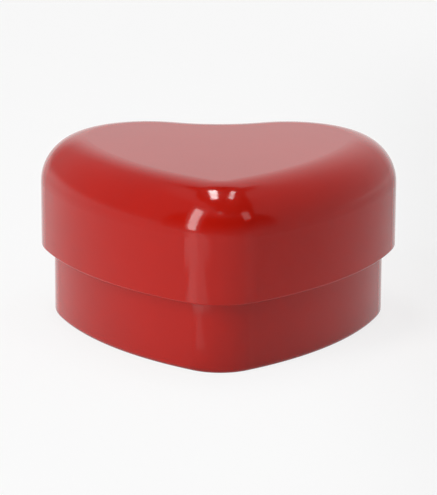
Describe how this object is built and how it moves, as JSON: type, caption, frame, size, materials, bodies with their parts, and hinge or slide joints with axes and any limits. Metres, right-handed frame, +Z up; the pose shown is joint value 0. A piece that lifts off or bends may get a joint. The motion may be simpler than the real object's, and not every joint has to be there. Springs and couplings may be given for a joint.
{
  "type": "wind-up music box",
  "caption": "Heart-shaped wind-up music box: a hinged overhanging lid over a base with a trinket well, a cylinder-and-comb movement under a clear plate and a winding key in a dish underneath.",
  "frame": {"origin": "middle of the closed box on the level that it rests on", "axes": "+Z up, heart tip towards -Y, hinge at +Y, +X across the lobes"},
  "size_m": [0.11, 0.1024, 0.0558],
  "materials": {
    "red_gloss": "high gloss",
    "red_satin": "fine texture",
    "flock": "short velvet flock",
    "clear": "clear polished sheet",
    "steel": "turned",
    "plated_steel": "pressed and plated",
    "spring_steel": "tempered",
    "comb_steel": "ground",
    "zinc": "die-cast",
    "brass": "polished",
    "lead": "dull",
    "nylon": "moulded",
    "fan_plastic": "moulded",
    "black_plastic": "moulded",
    "rubber": "soft"
  },
  "bodies": {
    "base": {"base_shell": "red_gloss", "bottom_cover": "red_satin", "bottom_cover_screws": "steel", "tray": "flock", "movement_cover": "clear", "cover_screws": "brass", "bedplate": "zinc", "movement_screws": "steel", "spring_housing": "plated_steel", "housing_rivets": "steel", "mainspring": "spring_steel", "comb": "comb_steel", "comb_weights": "lead", "comb_screws": "brass", "governor_bracket": "plated_steel", "bracket_screws": "steel", "plunger_bush": "brass", "plunger_spring": "spring_steel", "hinge_pin": "steel"},
    "lid": {"lid_shell": "red_gloss"},
    "winder": {"winding_arbor": "steel", "winding_key": "brass", "arbor_clip": "spring_steel"},
    "drive": {"drive_wheel": "nylon", "clutch_spring": "spring_steel"},
    "drum": {"cylinder": "brass", "cylinder_shaft": "steel", "cylinder_pinion": "brass", "cylinder_wheel": "nylon"},
    "governor": {"governor_arbor": "steel", "governor_pinion": "brass", "worm_wheel": "nylon"},
    "fly": {"worm_shaft": "steel", "fan": "fan_plastic"},
    "plunger": {"stop_plunger": "black_plastic", "stop_pad": "rubber"}
  },
  "joints": [
    {"name": "lid_hinge", "type": "hinge", "parent": "base", "child": "lid", "pos_m": [0, 0.0487, 0.0194], "axis": [-1, 0, 0], "range_deg": [0, 100]},
    {"name": "plunger_lift", "type": "slide", "parent": "base", "child": "plunger", "axis": [0, 0, 1], "range_m": [0, 0.0024], "deforming": ["plunger_spring"]},
    {"name": "key_turn", "type": "hinge", "parent": "base", "child": "winder", "pos_m": [-0.015, 0.018, 0.005], "axis": [0, 0, 1], "range_deg": [0, 1890]},
    {"name": "drum_spin", "type": "hinge", "parent": "base", "child": "drum", "pos_m": [0.01, 0.018, 0.02575], "axis": [1, 0, 0], "continuous": true},
    {"name": "drive_spin", "type": "hinge", "parent": "base", "child": "drive", "pos_m": [-0.015, 0.018, 0.021], "axis": [0, 0, 1], "continuous": true},
    {"name": "governor_spin", "type": "hinge", "parent": "base", "child": "governor", "pos_m": [0.0268, 0.02537, 0.02059], "axis": [1, 0, 0], "continuous": true},
    {"name": "fly_spin", "type": "hinge", "parent": "base", "child": "fly", "pos_m": [0.0268, 0.03137, 0.02059], "axis": [0, 0, 1], "continuous": true}
  ],
  "couplings": [
    {"joint": "plunger_lift", "follows": "lid_hinge", "m_per_rad": 0.0013751},
    {"joint": "drive_spin", "follows": "drum_spin", "ratio": 0.3},
    {"joint": "governor_spin", "follows": "drum_spin", "ratio": -4},
    {"joint": "fly_spin", "follows": "drum_spin", "ratio": 48}
  ]
}
